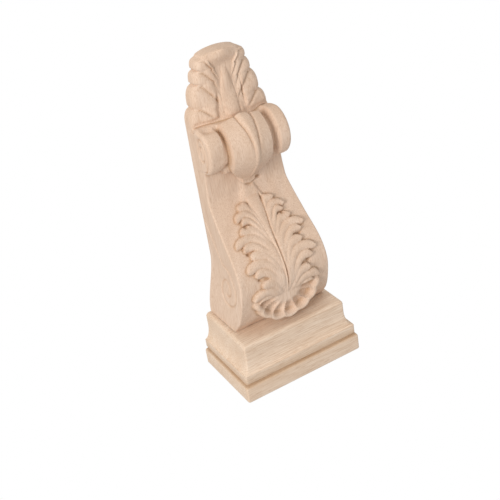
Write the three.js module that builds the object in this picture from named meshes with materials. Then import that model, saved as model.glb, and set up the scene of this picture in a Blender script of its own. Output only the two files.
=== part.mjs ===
// Carved wooden corbel in two glued pieces: a tall carved bracket and the moulded cap that carries the shelf.
// The wall is the plane y = 0, the front faces -Y, the cap is on top, and the origin lies on the back face,
// at half the overall height. All sizes are millimetres.
import * as THREE from 'three';

// Overall sizes
const overallHeight = 210;
const jointGap = 0.3;

// Moulded cap: a plain slab, a groove, a fascia, a cove, a plain band and a rounded shoulder
const capWidth = 86;
const capDepth = 55;
const slabHeight = 12;
const slabEdgeRadius = 1.5;
const grooveWidth = 1.4;
const grooveDepth = 2.3;
const fasciaInset = 1.4;
const fasciaHeight = 6;
const coveHeight = 10.5;
const coveDepth = 4.1;
const bandHeight = 6.3;
const shoulderRadius = 2.3;
const cornerRadius = 1.2;

// Bracket: ledges that it leaves on the cap, half widths and what stands out from the wall
const frontLedge = 15;
const sideLedge = 1.6;
const bulgeSetback = 0.3;
const neckProjection = 15.4;
const neckHalfWidth = 26.5;
const backHalfWidth = 26.2;
const footFlareHeight = 42;
const rollRadius = 15.4;
const rollProjection = 30;
const rollHalfWidth = 27.2;
const rollCentreDrop = 115;

// Husk, the leaf strap that wraps over the middle of the roll and narrows on to the neck as a blunt tongue
const huskHalfWidth = 13.9;
const huskRise = 1.2;
const huskKeel = 3;
const huskEdgeWidth = 1.2;
const rollEndWidth = 10;
const huskGrooveDepth = 5;
const tongueHalfWidth = 5;
const tongueRise = 1.2;
const tongueLength = 12;

// Hanging leaf below the roll: thick at its root, with a broad midrib and a tip that curls forward
const leafHalfWidth = 26;
const leafEdgeThickness = 6.3;
const leafRootCrown = 7;
const leafTipCrown = 2.8;
const leafCurl = 3.2;
const leafLobeRelief = 1.7;
const leafMidribHalfWidth = 5.4;
const leafMidribRise = 1.4;
const leafFaceRise = 0.4;

// Raised acanthus leaf on the bulge, with a curled shell at its base
const acanthusHalfWidth = 24.5;
const acanthusThickness = 1.2;
const acanthusRelief = 1.6;
const stemHalfWidth = 4.6;
const shellHalfWidth = 24.5;
const shellDrop = 19.5;
const shellHubDrop = 23.5;
const shellFlutes = 13;
const shellFluteDepth = 2.4;
const shellRim = 1.2;

// Mesh steps: columns across half the front, inside the carving's outline and outside it, and rows down it
const carvedColumns = 15;
const plainColumns = 4;
const arrisWidth = 1.2;
const leastCarvedHalf = 8;
const sideSteps = 2;
const shellStations = 16;
const bulgeStations = 34;
const rollStations = 26;
const leafStations = 30;
const cornerSteps = 3;
const coveSteps = 6;

// Sizes that follow from the ones above
const topZ = overallHeight / 2;
const bottomZ = topZ - overallHeight;
const capHeight = slabHeight + grooveWidth + fasciaHeight + coveHeight + bandHeight + shoulderRadius;
const capFootInset = fasciaInset + coveDepth + shoulderRadius;
const bracketTopZ = topZ - capHeight - jointGap;
const bracketHeight = bracketTopZ - bottomZ;
const footProjection = capDepth - capFootInset - frontLedge;
const bulgeProjection = capDepth - capFootInset - bulgeSetback;
const footHalfWidth = capWidth / 2 - capFootInset - sideLedge;
const rollCentre = new THREE.Vector2(rollRadius - rollProjection, bracketTopZ - rollCentreDrop);
const rollStart = Math.asin((neckProjection + rollCentre.x) / rollRadius);
const rollEnd = Math.PI + Math.asin(-(leafEdgeThickness + rollCentre.x) / rollRadius);
const rollTopZ = rollCentre.y + rollRadius * Math.cos(rollStart);
const leafTopZ = rollCentre.y + rollRadius * Math.cos(rollEnd);
const rollInnerEdge = rollHalfWidth - rollEndWidth;

const { smoothstep: rise, lerp, clamp } = THREE.MathUtils;
const bell = (value, width) => Math.exp(-((value / width) ** 2));
const dome = (value) => Math.sqrt(Math.max(0, 1 - value ** 2));
const steps = (count, at) => Array.from({ length: count }, (_, step) => at(step));

// A solid from rows of points. Each row is a loop of the same length, and a fan closes each end row.
function solidFromRows(rows) {
  const across = rows[0].length;
  const positions = rows.flat(2);
  const faces = [];
  for (let row = 0; row < rows.length - 1; row += 1) {
    for (let column = 0; column < across; column += 1) {
      const next = (column + 1) % across;
      const corners = [column, next, column + across, next + across];
      const [a, b, c, d] = corners.map((index) => row * across + index);
      const rightHalf = rows[row][column][0] + rows[row][next][0] > 0;
      faces.push(...(rightHalf ? [a, c, d, a, d, b] : [a, c, b, b, c, d]));
    }
  }
  for (const row of [0, rows.length - 1]) {
    const hub = positions.length / 3;
    const box = new THREE.Box3().setFromPoints(rows[row].map((point) => new THREE.Vector3(...point)));
    positions.push(...box.getCenter(new THREE.Vector3()).toArray());
    for (let column = 0; column < across; column += 1) {
      const edge = [row * across + column, row * across + ((column + 1) % across)];
      faces.push(hub, ...(row === 0 ? edge : edge.reverse()));
    }
  }
  const geometry = new THREE.BufferGeometry();
  geometry.setAttribute('position', new THREE.Float32BufferAttribute(positions, 3));
  geometry.setIndex(faces);
  geometry.computeVertexNormals();
  return geometry;
}

// Leaflets of the acanthus. They spring from the midrib in pairs. Each runs beside it, then arches out to its
// tip. Sizes along the leaf and out from its midrib are in millimetres, and shares run from 0 to 1.
const archPower = 3.5;
const tipDroop = 0.12;
const leafletRoot = 0.4;
const leafletRoundness = 5;

const leaflet = (reach, tip, halfSpan) => ({ reach, tip, halfSpan });

// Dome height of one leaflet over a point, 0 outside it.
function leafletHeight({ reach, tip, halfSpan }, sweep, along, side) {
  const out = side / reach;
  if (out >= 1) {
    return 0;
  }
  const droop = tipDroop * sweep;
  const axis = tip - sweep * (1 - out) ** archPower + droop * Math.sin(Math.PI * out);
  const arch = archPower * sweep * (1 - out) ** (archPower - 1);
  const slope = (arch + droop * Math.PI * Math.cos(Math.PI * out)) / reach;
  const span = halfSpan * lerp(leafletRoot, 1, rise(out, 0, 0.5)) * Math.sqrt(1 - out ** leafletRoundness);
  return dome((along - axis) / Math.hypot(1, slope) / span);
}

// Hanging leaf: its notches are shares of its length.
const hangingLeaf = {
  notches: [0.28, 0.585, 0.77, 0.93],
  squareness: 4,
  narrowing: 0.46,
  tipShare: 0.12,
  tipRoundness: 2.4,
};

// Half width of the hanging leaf without its notches: a straight taper that rounds off at the tip.
function leafEnvelope(share) {
  const towardTip = clamp((share - 1) / hangingLeaf.tipShare + 1, 0, 1);
  const rounding = Math.sqrt(1 - towardTip ** hangingLeaf.tipRoundness);
  return leafHalfWidth * (1 - hangingLeaf.narrowing * share) * rounding;
}

// Half width with the notches: each leaflet keeps its width and rounds in to the next one at its tip.
function leafOutline(share) {
  const marks = [0, ...hangingLeaf.notches, 1];
  const lobe = clamp(marks.findLastIndex((mark) => mark <= share), 0, marks.length - 2);
  const part = (share - marks[lobe]) / (marks[lobe + 1] - marks[lobe]);
  if (lobe === marks.length - 2) {
    return leafEnvelope(share);
  }
  return lerp(leafEnvelope(marks[lobe]), leafEnvelope(marks[lobe + 1]), part ** hangingLeaf.squareness);
}

// Side profile of the bulge and the neck: the share of the way down to the roll, and the share of the way out
// from the neck's projection to the bulge's.
const bulgeKnots = [
  [0.091, 0.762], [0.21, 0.918], [0.349, 1], [0.488, 0.86], [0.645, 0.443], [0.803, 0.065], [0.885, 0],
];

function bulgeCurve() {
  return new THREE.SplineCurve([
    new THREE.Vector2(-footProjection, bracketTopZ),
    ...bulgeKnots.map(([down, out]) =>
      new THREE.Vector2(-lerp(neckProjection, bulgeProjection, out), lerp(bracketTopZ, rollTopZ, down))),
    new THREE.Vector2(-neckProjection, rollTopZ),
  ]);
}

const bulge = bulgeCurve();
const bulgeLength = bulge.getLength();

const aroundRoll = (angle, radius) =>
  new THREE.Vector2(-Math.sin(angle), Math.cos(angle)).multiplyScalar(radius).add(rollCentre);

// The husk's half width: a blunt tongue on the neck that spreads like a teardrop to its full width on the roll.
const huskJoinAngle = 0.85;
const huskJoinTravel = (huskJoinAngle - rollStart) * rollRadius;
const huskSpread = { from: 0.3, to: 1 };
const tongueTipShare = 0.12;
const huskTop = { from: 2.75, to: 3.1 };
const huskKeelRun = { from: 0.1, to: 0.9 };
const huskSwell = 0.22 * huskKeel;
const grooveRun = { from: 0.4, to: 0.98 };
const outlineGap = { inside: 0.5, outside: 0.15 };

const huskShare = (toRoll) => clamp((toRoll + tongueLength) / (huskJoinTravel + tongueLength), 0, 1);

const grooveShare = (toRoll) => rise(toRoll / huskJoinTravel, grooveRun.from, grooveRun.to);

function huskHalfAt(toRoll) {
  const share = huskShare(toRoll);
  const blunt = dome(1 - Math.min(share / tongueTipShare, 1));
  return blunt * lerp(tongueHalfWidth, huskHalfWidth, rise(share, huskSpread.from, huskSpread.to));
}

// Rows run down the front: the shell's stretch, the bulge and neck, round the roll, then the hanging leaf.
// Each row has its front point in (y, z), the way out from it, its half width there and at the back, and the
// half width of its carving, which the mesh's columns follow.
const neckTaperPower = 1.2;
const rollSideShare = 0.15;

function bulgeRow(travel) {
  const share = clamp(travel / bulgeLength, 0, 1);
  const front = bulge.getPointAt(share);
  const along = bulge.getTangentAt(share);
  const row = {
    front,
    out: new THREE.Vector2(along.y, -along.x),
    toRoll: travel - bulgeLength,
    half: lerp(footHalfWidth, neckHalfWidth, share ** neckTaperPower),
    backHalf: lerp(footHalfWidth, backHalfWidth, rise(bracketTopZ - front.y, 0, footFlareHeight)),
    backZ: front.y,
  };
  return { ...row, carvedHalf: bulgeCarvedHalf(row) };
}

function rollRow(step) {
  const share = step / rollStations;
  const angle = lerp(rollStart, rollEnd, share);
  const half = lerp(neckHalfWidth, rollHalfWidth, rise(share, 0, rollSideShare));
  const toRoll = (angle - rollStart) * rollRadius;
  return {
    front: aroundRoll(angle, rollRadius),
    out: aroundRoll(angle, 1).sub(rollCentre),
    angle,
    toRoll,
    half: lerp(half, leafHalfWidth, rise(share, 1 - rollSideShare, 1)),
    backHalf: lerp(backHalfWidth, leafHalfWidth, share),
    backZ: lerp(rollTopZ, leafTopZ, share),
    carvedHalf: lerp(huskHalfAt(toRoll) + outlineGap.inside, rollInnerEdge, grooveShare(toRoll)),
  };
}

// The hanging leaf's thick root comes out of the roll's underside, further out in the middle than at its edges.
// The roll's last rows bend to end where the leaf's face begins, and the leaf's first rows follow them.
const rootBendFrom = 2.2;
const leafRootBlend = 0.15;

function rootAngle(side) {
  const face = leafEdgeThickness + leafRootCrown * (1 - Math.min(side / leafHalfWidth, 1) ** 2);
  return Math.PI + Math.asin(-(face + rollCentre.x) / rollRadius);
}

function bentRollRow(row, x) {
  const bend = rise(row.angle, rootBendFrom, rollEnd);
  const angle = row.angle - (rollEnd - rootAngle(Math.abs(x))) * bend;
  return { ...row, angle, front: aroundRoll(angle, rollRadius), out: aroundRoll(angle, 1).sub(rollCentre) };
}

const leafTipHalfWidth = 1.5;

function leafRow(step) {
  const leafShare = step / leafStations;
  const z = lerp(leafTopZ, bottomZ, leafShare);
  const half = Math.max(leafOutline(leafShare), leafTipHalfWidth);
  return { front: new THREE.Vector2(-leafEdgeThickness, z), leafShare, half, backHalf: half, backZ: z };
}

// Acanthus on the bulge: it hangs from the shell down to the neck, so its base lies at the shell's hub. Its
// leaflets' reaches are shares of its half width, and their places and spans shares of its length.
const acanthusLength = bulgeLength - shellHubDrop;
const acanthusBaseFade = 8;
const acanthusEdge = 0.35;
const stemHeight = 0.5;
const stemEnd = { from: 4, to: 1.6 };
const acanthusPlaces = [[0.98, 0.137, 0.087], [1, 0.331, 0.086], [0.98, 0.503, 0.081], [0.71, 0.66, 0.069]];
const acanthus = {
  sweep: 0.2 * acanthusLength,
  leaflets: acanthusPlaces.map(([reach, tip, span]) =>
    leaflet(reach * acanthusHalfWidth, tip * acanthusLength, span * acanthusLength)),
};

// Share of the acanthus relief at a point, 0 off the leaf and its stem. The stem stops short of the tongue.
function acanthusShare(toRoll, side) {
  const along = toRoll + acanthusLength;
  const leaflets = acanthus.leaflets.map((one) => leafletHeight(one, acanthus.sweep, along, side));
  return Math.max(...leaflets, stemHeight * dome(side / stemHalfWidth));
}

function acanthusRise(toRoll, side) {
  const share = acanthusShare(toRoll, side);
  const base = rise(toRoll + acanthusLength, -acanthusBaseFade, 0);
  const end = 1 - rise(toRoll + tongueLength, -stemEnd.from, -stemEnd.to);
  return base * end * (acanthusThickness * rise(share, 0, acanthusEdge) + acanthusRelief * share);
}

// The shell: a half disc with radial flutes and a scalloped rim, which stands clear of the bulge as a lip.
// Radii are shares of the shell's own.
const shellScallop = 0.07;
const shellEdge = { from: 0.93, to: 1.02 };
const shellRimAt = { radius: 0.9, width: 0.07 };
const fluteReach = { from: 0.25, full: 0.5, fading: 0.8, to: 0.9 };
const shellHubFade = 0.12;

function shellAt(x, z) {
  const [across, up] = [x / shellHalfWidth, (z - bracketTopZ + shellHubDrop) / shellDrop];
  const lobe = Math.abs(Math.cos((shellFlutes * Math.atan2(across, up)) / 2));
  const radius = Math.hypot(across, up) * (1 + shellScallop * (1 - lobe));
  const inside = (1 - rise(radius, shellEdge.from, shellEdge.to)) * rise(up, -shellHubFade, shellHubFade);
  const flute = lobe * rise(radius, fluteReach.from, fluteReach.full)
    * (1 - rise(radius, fluteReach.fading, fluteReach.to));
  const rim = shellRim * bell(radius - shellRimAt.radius, shellRimAt.width);
  return { inside, height: rim - shellFluteDepth * flute };
}

// Half width of what is carved on a row of the bulge: the shell, then the leaf, then the husk as it spreads.
const outlineSearch = 240;

function bulgeCarvedHalf({ front, toRoll }) {
  if (front.y > bracketTopZ - shellHubDrop) {
    return shellHalfWidth;
  }
  const sides = steps(outlineSearch, (step) => (acanthusHalfWidth * step) / outlineSearch);
  const leafHalf = sides.findLast((side) => acanthusShare(toRoll, side) > 0);
  return Math.max(leafHalf, huskHalfAt(toRoll) + outlineGap.inside, leastCarvedHalf);
}

// The tongue and husk: one smooth path leaves the roll on its tangent and runs down to the neck. Shares along
// it are 0 at the tongue's tip and 1 where it joins the roll.
function huskPath(row) {
  if (row.toRoll >= huskJoinTravel) {
    return aroundRoll(row.angle, rollRadius + huskRise);
  }
  const join = aroundRoll(huskJoinAngle, rollRadius + huskRise);
  const from = new THREE.Vector2(-neckProjection - tongueRise, rollTopZ + tongueLength);
  const corner = new THREE.Vector2(from.x, join.y + (from.x - join.x) * Math.tan(huskJoinAngle));
  return new THREE.QuadraticBezierCurve(from, corner, join).getPoint(huskShare(row.toRoll));
}

function huskPoint(row, x, front) {
  if (row.toRoll < -tongueLength) {
    return front;
  }
  const side = Math.abs(x);
  const above = row.angle === undefined ? 1 : 1 - rise(row.angle, huskTop.from, huskTop.to);
  const half = huskHalfAt(row.toRoll);
  const within = (1 - rise(side, half - huskEdgeWidth, half + outlineGap.outside)) * above;
  const roof = huskKeel * (1 - Math.min(side / half, 1)) + huskSwell * dome(Math.min(side / half, 1));
  const fold = roof * rise(huskShare(row.toRoll), huskKeelRun.from, huskKeelRun.to);
  const husk = huskPath(row).addScaledVector(row.out, fold);
  const inGroove = 1 - rise(side, rollInnerEdge - outlineGap.inside, rollInnerEdge + outlineGap.inside);
  const groove = (1 - within) * inGroove * above * grooveShare(row.toRoll);
  return front.clone().lerp(husk, within).addScaledVector(row.out, -groove * huskGrooveDepth);
}

// The hanging leaf's face. Its veins leave the midrib, run beside it and sweep out to the outline's notches, so
// a point lies in the lobe of the outline that its vein reaches. The first stretch is a plain collar.
const veinSweep = 0.6;
const veinPower = 2.1;
const lobeLean = 0.7;
const lobeFullness = 0.7;
const lobeRoot = { from: 0.15, to: 0.45 };
const leafRootFade = 0.06;
const leafCrownFade = 0.5;
const lobeFade = { from: 0.84, to: 0.94 };
const midribTaper = { from: 0.3, to: 0.8, tip: 0.37 };
const midribFade = { from: 0.62, to: 0.8 };
const leafCurlSpan = { from: 0.76, to: 0.94 };
const collarSpan = { from: 0.02, full: 0.095, fading: 0.25, to: 0.285 };
const collarEdge = { from: 0.35, to: 0.5 };

function lobePillow(station) {
  const marks = [...hangingLeaf.notches, 1];
  const lobe = marks.findLastIndex((mark) => mark <= station);
  if (lobe < 0 || lobe === marks.length - 1) {
    return 0;
  }
  const part = (station - marks[lobe]) / (marks[lobe + 1] - marks[lobe]);
  return Math.sin(Math.PI * part ** lobeLean) ** lobeFullness;
}

function leafPoint(row, x) {
  const edge = Math.abs(x) / row.half;
  const share = row.leafShare;
  const station = share + veinSweep * (1 - edge) ** veinPower;
  const crown = lerp(leafRootCrown, leafTipCrown, rise(share, 0, leafCrownFade)) * (1 - edge ** 2);
  const lobes = lobePillow(station) * rise(edge, lobeRoot.from, lobeRoot.to)
    * (1 - rise(share, lobeFade.from, lobeFade.to));
  const collar = rise(share, collarSpan.from, collarSpan.full)
    * (1 - rise(station, collarSpan.fading, collarSpan.to)) * rise(edge, collarEdge.from, collarEdge.to);
  const taper = lerp(1, midribTaper.tip, rise(share, midribTaper.from, midribTaper.to));
  const midribHalf = leafMidribHalfWidth * taper;
  const midrib = dome(Math.abs(x) / midribHalf) * (1 - rise(share, midribFade.from, midribFade.to));
  const carving = Math.max(leafLobeRelief * Math.max(lobes, collar), leafMidribRise * midrib);
  const curl = leafCurl * rise(share, leafCurlSpan.from, leafCurlSpan.to) * (1 - edge ** 2);
  const relief = crown + (carving + leafFaceRise) * rise(share, 0, leafRootFade) + curl;
  const rootDrop = leafTopZ - aroundRoll(rootAngle(Math.abs(x)), rollRadius).y;
  const z = row.front.y - rootDrop * (1 - rise(share, 0, leafRootBlend));
  return new THREE.Vector2(row.front.x - relief, z);
}

function frontPoint(row, x) {
  if (row.leafShare !== undefined) {
    return leafPoint(row, x);
  }
  if (row.angle !== undefined) {
    const bent = bentRollRow(row, x);
    return huskPoint(bent, x, bent.front);
  }
  const point = row.front.clone().addScaledVector(row.out, acanthusRise(row.toRoll, Math.abs(x)));
  const shell = shellAt(x, row.front.y);
  point.x = lerp(point.x, -bulgeProjection - shell.height, shell.inside);
  return huskPoint(row, x, point);
}

// Columns across half of a row, from the middle to the arris. The last carved ones hug the carving's outline.
function halfColumns({ half, carvedHalf }) {
  const face = half - arrisWidth;
  const columns = carvedColumns + plainColumns;
  if (carvedHalf === undefined) {
    return [...steps(columns, (step) => (face * step) / (columns - 1)), half];
  }
  const edge = Math.min(carvedHalf, face - outlineGap.outside);
  const [within, beyond] = [edge - outlineGap.inside, edge + outlineGap.outside];
  const carved = steps(carvedColumns, (step) => (within * step) / (carvedColumns - 1));
  const plain = steps(plainColumns, (step) => lerp(beyond, face, step / (plainColumns - 1)));
  return [...carved, ...plain, half];
}

function carvedBracket() {
  const rows = [
    ...steps(shellStations, (step) => bulgeRow((step / shellStations) * shellHubDrop)),
    ...steps(bulgeStations, (step) => bulgeRow(lerp(shellHubDrop, bulgeLength, step / bulgeStations))),
    ...steps(rollStations, rollRow),
    ...steps(leafStations + 1, leafRow),
  ];
  const loops = rows.map((row) => {
    const columns = halfColumns(row);
    const across = [...columns.slice(1).reverse().map((x) => -x), ...columns];
    const front = across.map((x) => {
      const { x: y, y: z } = frontPoint(row, x);
      return [x, y, z];
    });
    const sidePoint = (mirror, share) => [
      mirror * lerp(row.half, row.backHalf, share),
      lerp(row.front.x, 0, share),
      lerp(row.front.y, row.backZ, share),
    ];
    const rightSide = steps(sideSteps, (step) => sidePoint(1, (step + 1) / sideSteps));
    const leftSide = steps(sideSteps, (step) => sidePoint(-1, (step + 1) / sideSteps)).reverse();
    return [...front, ...rightSide, ...leftSide];
  });
  return solidFromRows(loops);
}

// Moulded cap: the profile's inset from the slab's faces, from the bottom shoulder up to the slab's top.
const grooveFloor = [0.7, 0.3];
const quarter = (step, count) => (step / count) * (Math.PI / 2);

function capProfile() {
  const footZ = topZ - capHeight;
  const slabZ = topZ - slabHeight;
  const shoulder = (step) => {
    const angle = quarter(step, cornerSteps);
    const level = footZ + shoulderRadius * (1 - Math.cos(angle));
    return [capFootInset - shoulderRadius * Math.sin(angle), level];
  };
  const cove = (step) => {
    const angle = quarter(step, coveSteps);
    const level = slabZ - grooveWidth - fasciaHeight - coveHeight * (1 - Math.sin(angle));
    return [fasciaInset + coveDepth * Math.cos(angle), level];
  };
  const lowerEdge = (step) => {
    const angle = quarter(step, cornerSteps);
    return [slabEdgeRadius * (1 - Math.sin(angle)), slabZ + slabEdgeRadius * (1 - Math.cos(angle))];
  };
  const upperEdge = (step) => {
    const angle = quarter(step, cornerSteps);
    return [slabEdgeRadius * (1 - Math.cos(angle)), topZ - slabEdgeRadius * (1 - Math.sin(angle))];
  };
  return [
    ...steps(cornerSteps + 1, shoulder),
    ...steps(coveSteps + 1, cove),
    [fasciaInset, slabZ - grooveWidth],
    ...grooveFloor.map((share) => [grooveDepth, slabZ - grooveWidth * share]),
    ...steps(cornerSteps + 1, lowerEdge),
    ...steps(cornerSteps + 1, upperEdge),
  ];
}

function mouldedCap() {
  const loops = capProfile().map(([inset, z]) => {
    const halfWidth = capWidth / 2 - inset;
    const front = inset - capDepth;
    const corner = (mirror, step) => {
      const angle = quarter(step, cornerSteps);
      const x = halfWidth - cornerRadius * (1 - Math.sin(angle));
      return [mirror * x, front + cornerRadius * (1 - Math.cos(angle)), z];
    };
    const left = steps(cornerSteps + 1, (step) => corner(-1, cornerSteps - step));
    const right = steps(cornerSteps + 1, (step) => corner(1, step));
    return [...left, ...right, [halfWidth, 0, z], [-halfWidth, 0, z]];
  });
  return solidFromRows(loops.reverse());
}

const paleWood = { roughness: 0.62, metalness: 0 };
const bracketWood = new THREE.MeshStandardMaterial({ color: '#d9bd9c', ...paleWood });
const capWood = new THREE.MeshStandardMaterial({ color: '#d8bb8e', ...paleWood });

function piece(name, geometry, material) {
  const mesh = new THREE.Mesh(geometry, material);
  mesh.name = name;
  return mesh;
}

const corbel = new THREE.Group();
corbel.add(piece('carved_bracket', carvedBracket(), bracketWood));
corbel.add(piece('moulded_cap', mouldedCap(), capWood));

export default corbel;
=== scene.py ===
# %% [markdown]
# # A carved corbel in bare pale hardwood
#
# A corbel is a bracket on a wall that carries a shelf or a mantel. This one is two pieces of wood: a tall
# carved bracket, with its grain along the height, and a moulded cap glued on top, with its grain along
# the width. The frame is the solid model of the same object. Everything here is built in the same place
# and at the same size: the wall is the plane y = 0, the carved front faces -Y, and the cap is on top.

# %% Load the frame
import math

import bpy
import numpy as np
from mathutils import Matrix, Vector


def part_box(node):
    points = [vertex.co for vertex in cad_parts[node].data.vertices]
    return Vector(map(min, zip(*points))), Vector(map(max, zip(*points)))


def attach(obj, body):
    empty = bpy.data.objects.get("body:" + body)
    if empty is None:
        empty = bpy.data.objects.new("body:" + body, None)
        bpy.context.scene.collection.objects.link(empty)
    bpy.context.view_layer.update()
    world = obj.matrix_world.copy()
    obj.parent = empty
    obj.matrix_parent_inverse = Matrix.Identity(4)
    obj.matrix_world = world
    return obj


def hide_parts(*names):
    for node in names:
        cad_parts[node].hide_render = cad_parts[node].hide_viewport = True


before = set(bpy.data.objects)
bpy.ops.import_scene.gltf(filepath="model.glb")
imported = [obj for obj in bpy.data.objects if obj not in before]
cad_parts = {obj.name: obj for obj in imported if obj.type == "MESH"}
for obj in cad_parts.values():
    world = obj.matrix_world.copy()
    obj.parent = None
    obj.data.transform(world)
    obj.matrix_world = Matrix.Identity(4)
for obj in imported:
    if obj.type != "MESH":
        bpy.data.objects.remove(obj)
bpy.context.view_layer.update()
print("nodes:", sorted(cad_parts))

# %% [markdown]
# Sizes first, in millimetres, as a carver would pencil them on the blank. The frame gives the overall
# height and where the two pieces part. The rest are the sizes of the bracket's main forms.

# %% Sizes of the blank
MM = 0.001
cap_low, cap_high = (np.array(corner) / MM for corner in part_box("moulded_cap"))
bracket_low, bracket_high = (np.array(corner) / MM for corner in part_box("carved_bracket"))
top_z = cap_high[2]
bottom_z = bracket_low[2]
bracket_top_z = bracket_high[2]
cap_width = cap_high[0] - cap_low[0]
cap_depth = -cap_low[1]
cap_height = top_z - cap_low[2]
print(f"cap {cap_width:.1f} x {cap_depth:.1f} x {cap_height:.1f} mm, overall {top_z - bottom_z:.1f} mm")

# %% Sizes of the bracket's forms
cap_foot_inset = 7.8
front_ledge = 15
side_ledge = 1.6
bulge_setback = 0.3
foot_projection = cap_depth - cap_foot_inset - front_ledge
bulge_projection = cap_depth - cap_foot_inset - bulge_setback
foot_half_width = cap_width / 2 - cap_foot_inset - side_ledge
neck_projection = 15.4
neck_half_width = 26.5
back_half_width = 26.2
foot_flare_height = 42
roll_radius = 15.4
roll_projection = 30
roll_half_width = 27.2
roll_centre_drop = 115
leaf_half_width = 26
leaf_edge_thickness = 6.3
print(f"the bulge stands {bulge_projection:.1f} mm out from the wall, the neck {neck_projection} mm")

# %% [markdown]
# A few small curves do most of the shaping. `rise` eases from 0 to 1, `bell` is a soft bump, `dome` is a
# half round, `dimple` is a bump with a place and two sizes, and `lerp` mixes two values. They work on
# whole arrays, because the carving is a field of heights.

# %% Shaping curves


def rise(value, start, end):
    share = np.clip((value - start) / (end - start), 0, 1)
    return share * share * (3 - 2 * share)


def bell(value, width):
    return np.exp(-((value / width) ** 2))


def dome(value):
    return np.sqrt(np.maximum(0, 1 - value**2))


def dimple(first, second, place, sizes):
    return bell(np.hypot((first - place[0]) / sizes[0], (second - place[1]) / sizes[1]), 1)


def lerp(start, end, share):
    return start + (end - start) * share


print(f"halfway: rise {rise(0.5, 0, 1)}, bell {bell(0.5, 1):.2f}, dome {dome(0.5):.2f}")

# %% [markdown]
# The side profile of the bulge and the neck is one smooth spline through a few points, as a carver's
# template is. Each point says how far down it lies, from the cap to the small scroll, and how far out,
# from the neck to the bulge. It could be a Bézier curve object, but here the rows of the mesh need points
# at equal steps along it, so the spline is worked out directly and measured by its arc length.

# %% Side profile of the bulge
roll_centre = np.array([roll_radius - roll_projection, bracket_top_z - roll_centre_drop])
roll_start = math.asin((neck_projection + roll_centre[0]) / roll_radius)
roll_end = math.pi + math.asin(-(leaf_edge_thickness + roll_centre[0]) / roll_radius)
roll_top_z = roll_centre[1] + roll_radius * math.cos(roll_start)
leaf_top_z = roll_centre[1] + roll_radius * math.cos(roll_end)

bulge_knots = [
    (0.091, 0.762), (0.21, 0.918), (0.349, 1), (0.488, 0.86), (0.645, 0.443), (0.803, 0.065), (0.885, 0),
]
knots = np.array(
    [(-foot_projection, bracket_top_z)]
    + [
        (-lerp(neck_projection, bulge_projection, out), lerp(bracket_top_z, roll_top_z, down))
        for down, out in bulge_knots
    ]
    + [(-neck_projection, roll_top_z)]
)


def smooth_through(points, samples=120):
    padded = np.vstack([points[:1], points, points[-1:]])
    share = np.linspace(0, 1, samples, endpoint=False)[:, None]
    stretches = []
    for first, start, end, last in zip(padded, padded[1:], padded[2:], padded[3:]):
        leave, arrive = (end - first) / 2, (last - start) / 2
        cubic = (2 * start - 2 * end + leave + arrive) * share**3
        square = (3 * end - 3 * start - 2 * leave - arrive) * share**2
        stretches.append(cubic + square + leave * share + start)
    return np.vstack(stretches + [points[-1:]])


profile = smooth_through(knots)
profile_travel = np.concatenate([[0], np.cumsum(np.hypot(*np.diff(profile, axis=0).T))])
bulge_length = profile_travel[-1]
print(f"front of the bulge and neck: {bulge_length:.1f} mm along the curve")

# %% [markdown]
# The front is laid out in rows from the cap down: the bulge with the neck, once round the small scroll,
# and the hanging leaf. Each row knows its front point, which way is out, its half width there and at the
# back, and how round its arris is. Steps of about half a millimetre are fine enough for a gouge cut.

# %% Rows down the bulge and the neck
bulge_rows, roll_rows, leaf_rows = 212, 112, 72
neck_taper_power = 1.2
bulge_arris = 1.0


def bulge_stretch():
    travel = np.linspace(0, bulge_length, bulge_rows, endpoint=False)
    y, z = (np.interp(travel, profile_travel, profile[:, axis]) for axis in (0, 1))
    along = np.stack([np.gradient(y), np.gradient(z)])
    along /= np.hypot(*along)
    flare = rise(bracket_top_z - z, 0, foot_flare_height)
    return {
        "y": y, "z": z, "out_y": along[1], "out_z": -along[0], "to_roll": travel - bulge_length,
        "half": lerp(foot_half_width, neck_half_width, (travel / bulge_length) ** neck_taper_power),
        "back_half": lerp(foot_half_width, back_half_width, flare),
        "back_z": z, "arris": bulge_arris, "angle": roll_start, "leaf_share": 0, "part": 0,
    }


print(f"{bulge_rows} rows, {bulge_length / bulge_rows:.2f} mm apart")

# %% Rows round the scroll
roll_arris = 2.2
roll_widens, roll_softens, roll_narrows = (0, 0.15), (0, 0.2), (0.85, 1)


def roll_stretch():
    share = np.linspace(0, 1, roll_rows, endpoint=False)
    angle = lerp(roll_start, roll_end, share)
    half = lerp(neck_half_width, roll_half_width, rise(share, *roll_widens))
    return {
        "y": roll_centre[0] - roll_radius * np.sin(angle),
        "z": roll_centre[1] + roll_radius * np.cos(angle),
        "out_y": -np.sin(angle), "out_z": np.cos(angle), "to_roll": (angle - roll_start) * roll_radius,
        "half": lerp(half, leaf_half_width, rise(share, *roll_narrows)),
        "back_half": lerp(back_half_width, leaf_half_width, share),
        "back_z": lerp(roll_top_z, leaf_top_z, share),
        "arris": lerp(bulge_arris, roll_arris, rise(share, *roll_softens)), "angle": angle,
        "leaf_share": 0, "part": 1,
    }


print(f"{roll_rows} rows, {(roll_end - roll_start) * roll_radius / roll_rows:.2f} mm apart")

# %% [markdown]
# The hanging leaf's outline is a row of lobes. Each lobe keeps its width and then rounds in to the next
# one, with a small nick between them, and the last stretch closes as a dome. Places are shares of its
# length.

# %% Outline of the hanging leaf
leaf_notches = [0, 0.28, 0.585, 0.77, 0.93, 1]
leaf_taper = 0.46
leaf_tip_share = 0.12
leaf_tip_roundness = 2.4
leaf_tip_half_width = 1.5
lobe_squareness = 4
nick_depth = 1.1
nick_share = 0.016


def leaf_envelope(share):
    toward_tip = np.clip((share - 1) / leaf_tip_share + 1, 0, 1)
    return leaf_half_width * (1 - leaf_taper * share) * np.sqrt(1 - toward_tip**leaf_tip_roundness)


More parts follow.
